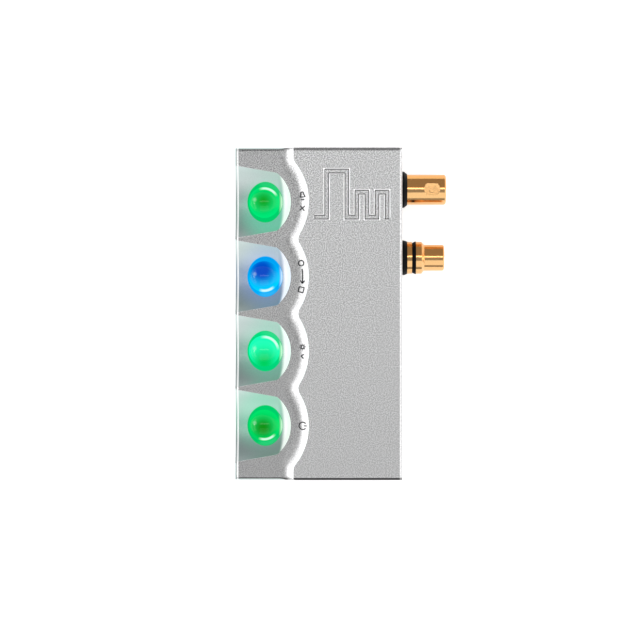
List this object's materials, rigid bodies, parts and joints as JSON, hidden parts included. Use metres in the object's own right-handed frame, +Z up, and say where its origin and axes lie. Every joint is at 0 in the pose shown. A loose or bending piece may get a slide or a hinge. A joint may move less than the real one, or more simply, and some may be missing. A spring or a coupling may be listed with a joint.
{
  "type": "portable digital audio bridge",
  "caption": "Milled silver case with lit ball buttons in finger pockets along one long side and gold coaxial sockets on the other.",
  "frame": {"origin": "under the middle of the whole device, sockets included, on the surface that its feet stand on", "axes": "+X along the long side from the mute button to the power button, +Y from the buttons to the rear sockets, +Z up"},
  "size_m": [0.104, 0.0662, 0.023],
  "materials": {
    "case_aluminium": "bead-blasted silver anodised, bright fine bevels",
    "base_aluminium": "satin anodised plate",
    "foot_rubber": "soft matt black",
    "screw_steel": "black zinc plated",
    "carrier_plastic": "black moulded",
    "mute_ball_resin": "polished clear resin lit green from below",
    "output_ball_resin": "polished clear resin lit blue from below",
    "dim_ball_resin": "polished clear resin lit pale green from below",
    "power_ball_resin": "polished clear resin lit green from below",
    "cup_clear": "clear moulded light guide",
    "switch_black": "moulded",
    "lamp_white": "diffusing lens",
    "board_green": "solder mask",
    "chip_black": "moulded package",
    "crystal_can": "pressed can",
    "capacitor_tan": "fired ceramic",
    "can_metal": "drawn can",
    "socket_gold": "polished gold plate",
    "nut_nickel": "nickel plate",
    "washer_black": "moulded insulating washer",
    "insulator_white": "turned fluoropolymer",
    "optical_black": "moulded",
    "emitter_red": "clear red lens",
    "usb_steel": "nickel plated pressed sheet"
  },
  "bodies": {
    "case": {"case_shell": "case_aluminium", "base_plate": "base_aluminium", "rubber_foot_1": "foot_rubber", "rubber_foot_2": "foot_rubber", "rubber_foot_3": "foot_rubber", "rubber_foot_4": "foot_rubber", "base_screws": "screw_steel", "board_screws": "screw_steel", "carrier_screws": "screw_steel", "button_carrier": "carrier_plastic", "key_switches": "switch_black", "button_lamps": "lamp_white", "main_board": "board_green", "audio_processor": "chip_black", "power_chips": "chip_black", "clock_crystals": "crystal_can", "pulse_transformers": "chip_black", "ceramic_capacitors": "capacitor_tan", "electrolytic_capacitors": "can_metal", "bnc_barrel": "socket_gold", "bnc_washer": "washer_black", "bnc_nut": "nut_nickel", "bnc_insulator": "insulator_white", "bnc_contact": "socket_gold", "phono_barrel": "socket_gold", "phono_washer": "washer_black", "phono_colour_ring": "washer_black", "phono_nut": "nut_nickel", "phono_insulator": "insulator_white", "phono_contact": "socket_gold", "optical_housing": "optical_black", "optical_emitter": "emitter_red", "shutter_pin": "screw_steel", "usb_output_shell": "usb_steel", "usb_output_tongue": "optical_black", "usb_output_contacts": "socket_gold", "data_inlet_shell": "usb_steel", "data_inlet_tongue": "optical_black", "charge_inlet_shell": "usb_steel", "charge_inlet_tongue": "optical_black"},
    "mute_button": {"mute_light_cup": "cup_clear", "mute_switch_stem": "switch_black"},
    "mute_ball": {"mute_ball": "mute_ball_resin"},
    "output_button": {"output_light_cup": "cup_clear", "output_switch_stem": "switch_black"},
    "output_ball": {"output_ball": "output_ball_resin"},
    "dim_button": {"dim_light_cup": "cup_clear", "dim_switch_stem": "switch_black"},
    "dim_ball": {"dim_ball": "dim_ball_resin"},
    "power_button": {"power_light_cup": "cup_clear", "power_switch_stem": "switch_black"},
    "power_ball": {"power_ball": "power_ball_resin"},
    "optical_flap": {"optical_shutter": "optical_black"}
  },
  "joints": [
    {"name": "mute_press", "type": "slide", "parent": "case", "child": "mute_button", "axis": [0, 0, -1], "range_m": [0, 0.0004], "stiffness_N_per_m": 3000},
    {"name": "mute_roll", "type": "hinge", "parent": "mute_button", "child": "mute_ball", "pos_m": [-0.0351, -0.02413, 0.01213], "axis": [1, 0, 0], "continuous": true},
    {"name": "output_press", "type": "slide", "parent": "case", "child": "output_button", "axis": [0, 0, -1], "range_m": [0, 0.0004], "stiffness_N_per_m": 3000},
    {"name": "output_roll", "type": "hinge", "parent": "output_button", "child": "output_ball", "pos_m": [-0.0117, -0.02413, 0.01213], "axis": [1, 0, 0], "continuous": true},
    {"name": "dim_press", "type": "slide", "parent": "case", "child": "dim_button", "axis": [0, 0, -1], "range_m": [0, 0.0004], "stiffness_N_per_m": 3000},
    {"name": "dim_roll", "type": "hinge", "parent": "dim_button", "child": "dim_ball", "pos_m": [0.0117, -0.02413, 0.01213], "axis": [1, 0, 0], "continuous": true},
    {"name": "power_press", "type": "slide", "parent": "case", "child": "power_button", "axis": [0, 0, -1], "range_m": [0, 0.0004], "stiffness_N_per_m": 3000},
    {"name": "power_roll", "type": "hinge", "parent": "power_button", "child": "power_ball", "pos_m": [0.0351, -0.02413, 0.01213], "axis": [1, 0, 0], "continuous": true},
    {"name": "shutter_swing", "type": "hinge", "parent": "case", "child": "optical_flap", "pos_m": [0.0045, 0.01678, 0.0136], "axis": [-1, 0, 0], "range_deg": [0, 84], "stiffness_Nm_per_rad": 0.0003}
  ]
}
